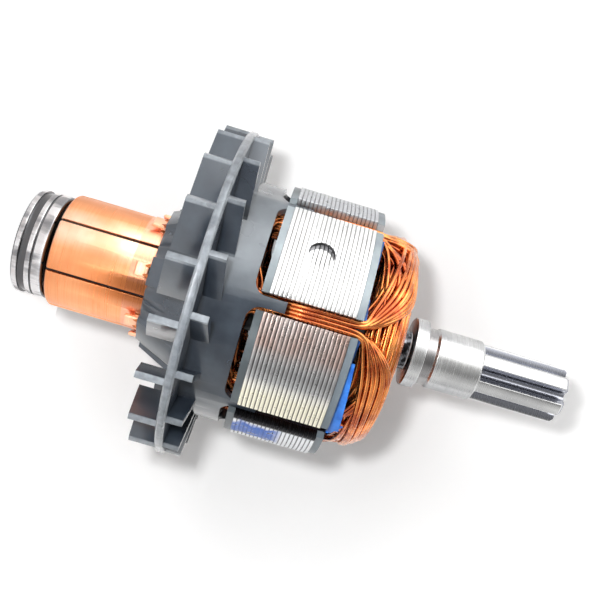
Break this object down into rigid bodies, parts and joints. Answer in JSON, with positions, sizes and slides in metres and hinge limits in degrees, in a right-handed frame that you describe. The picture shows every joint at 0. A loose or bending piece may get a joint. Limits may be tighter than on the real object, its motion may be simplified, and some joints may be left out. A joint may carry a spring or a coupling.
{
  "type": "motor rotor",
  "caption": "Wound rotor of a small commutator motor, with copper commutator, bladed cooling fan, laminated stack, rear ball bearing and a toothed pinion.",
  "frame": {"origin": "middle of the rear bearing's end face, on which the rotor stands", "axes": "+Z along the shaft from the rear bearing to the pinion"},
  "size_m": [0.0536, 0.0534, 0.09],
  "materials": {
    "shaft_steel": "turned and ground",
    "bearing_steel": "ground, bright",
    "cage_plastic": "moulded",
    "commutator_moulding": "moulded, matt black",
    "bar_copper": "turned bare copper, bright",
    "fan_plastic": "moulded, slate black, soft sheen",
    "insulator_plastic": "moulded, dark grey",
    "lamination_steel": "punched sheet, ground round outside",
    "liner_paper": "blue insulating paper",
    "enamelled_copper": "enamelled wire, glossy"
  },
  "bodies": {
    "rotor": {"shaft": "shaft_steel", "bearing_inner_ring": "bearing_steel", "commutator_core": "commutator_moulding", "commutator_bar_1": "bar_copper", "commutator_bar_2": "bar_copper", "commutator_bar_3": "bar_copper", "commutator_bar_4": "bar_copper", "commutator_bar_5": "bar_copper", "commutator_bar_6": "bar_copper", "commutator_bar_7": "bar_copper", "fan": "fan_plastic", "rear_end_insulator": "insulator_plastic", "front_end_insulator": "insulator_plastic", "winding_washer": "insulator_plastic", "lamination_01": "lamination_steel", "lamination_02": "lamination_steel", "lamination_03": "lamination_steel", "lamination_04": "lamination_steel", "lamination_05": "lamination_steel", "lamination_06": "lamination_steel", "lamination_07": "lamination_steel", "lamination_08": "lamination_steel", "lamination_09": "lamination_steel", "lamination_10": "lamination_steel", "lamination_11": "lamination_steel", "lamination_12": "lamination_steel", "lamination_13": "lamination_steel", "lamination_14": "lamination_steel", "lamination_15": "lamination_steel", "lamination_16": "lamination_steel", "lamination_17": "lamination_steel", "lamination_18": "lamination_steel", "lamination_19": "lamination_steel", "lamination_20": "lamination_steel", "slot_liner_1": "liner_paper", "slot_liner_2": "liner_paper", "slot_liner_3": "liner_paper", "slot_liner_4": "liner_paper", "slot_liner_5": "liner_paper", "slot_liner_6": "liner_paper", "slot_liner_7": "liner_paper", "coil_1": "enamelled_copper", "coil_2": "enamelled_copper", "coil_3": "enamelled_copper", "coil_4": "enamelled_copper", "coil_5": "enamelled_copper", "coil_6": "enamelled_copper", "coil_7": "enamelled_copper"},
    "bearing_outer": {"bearing_outer_ring": "bearing_steel", "bearing_rear_shield": "bearing_steel", "bearing_front_shield": "bearing_steel"},
    "bearing_cage_set": {"bearing_cage": "cage_plastic", "bearing_balls": "bearing_steel"}
  },
  "joints": [
    {"name": "bearing_turn", "type": "hinge", "parent": "rotor", "child": "bearing_outer", "pos_m": [0, 0, 0.0025], "axis": [0, 0, 1], "continuous": true},
    {"name": "cage_turn", "type": "hinge", "parent": "rotor", "child": "bearing_cage_set", "pos_m": [0, 0, 0.0025], "axis": [0, 0, 1], "continuous": true}
  ],
  "couplings": [
    {"joint": "cage_turn", "follows": "bearing_turn", "ratio": 0.6083}
  ]
}
